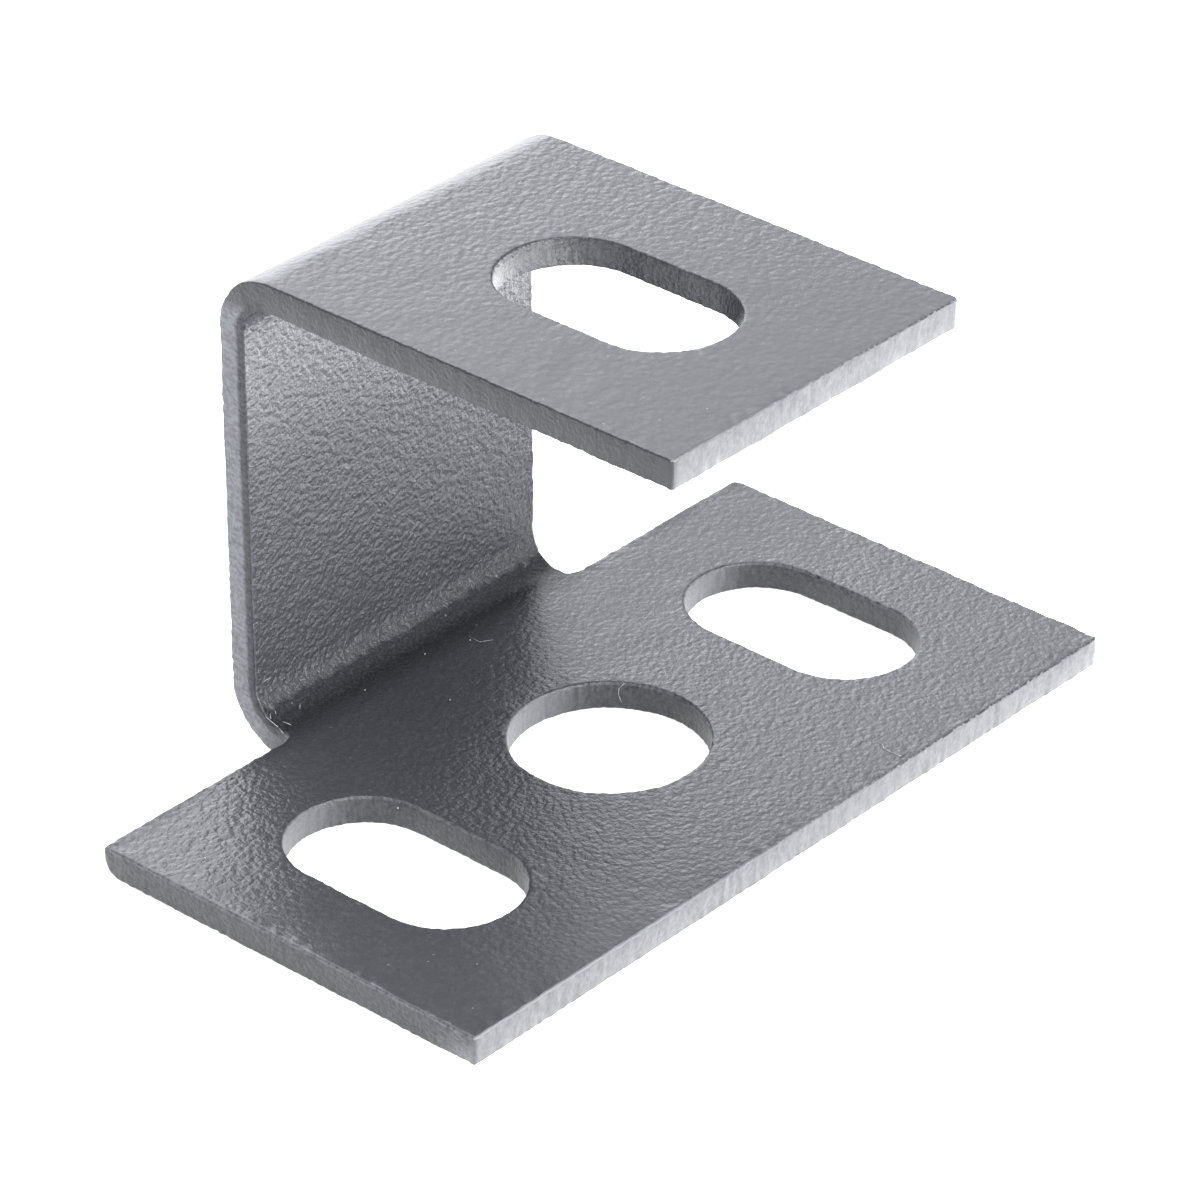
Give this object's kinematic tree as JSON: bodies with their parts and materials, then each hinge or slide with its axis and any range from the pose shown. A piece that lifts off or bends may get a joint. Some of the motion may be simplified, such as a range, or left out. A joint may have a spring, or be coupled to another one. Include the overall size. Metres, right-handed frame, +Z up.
{
  "type": "ground bar mounting bracket",
  "caption": "Folded sheet bracket: a wide plate with slots and a round hole, an upright web, and a narrower slotted flange above it.",
  "frame": {"origin": "centre of the plate's round hole, on the plate's underside, which is the mounting face", "axes": "+Z up out of the mounting surface, +Y from the hole to the upright web, +X along the folds"},
  "size_m": [0.0502, 0.0308, 0.0285],
  "materials": {
    "powder_coat": "satin grey powder coat with a fine leather-like texture"
  },
  "bodies": {
    "root": {"bracket": "powder_coat"}
  },
  "joints": []
}
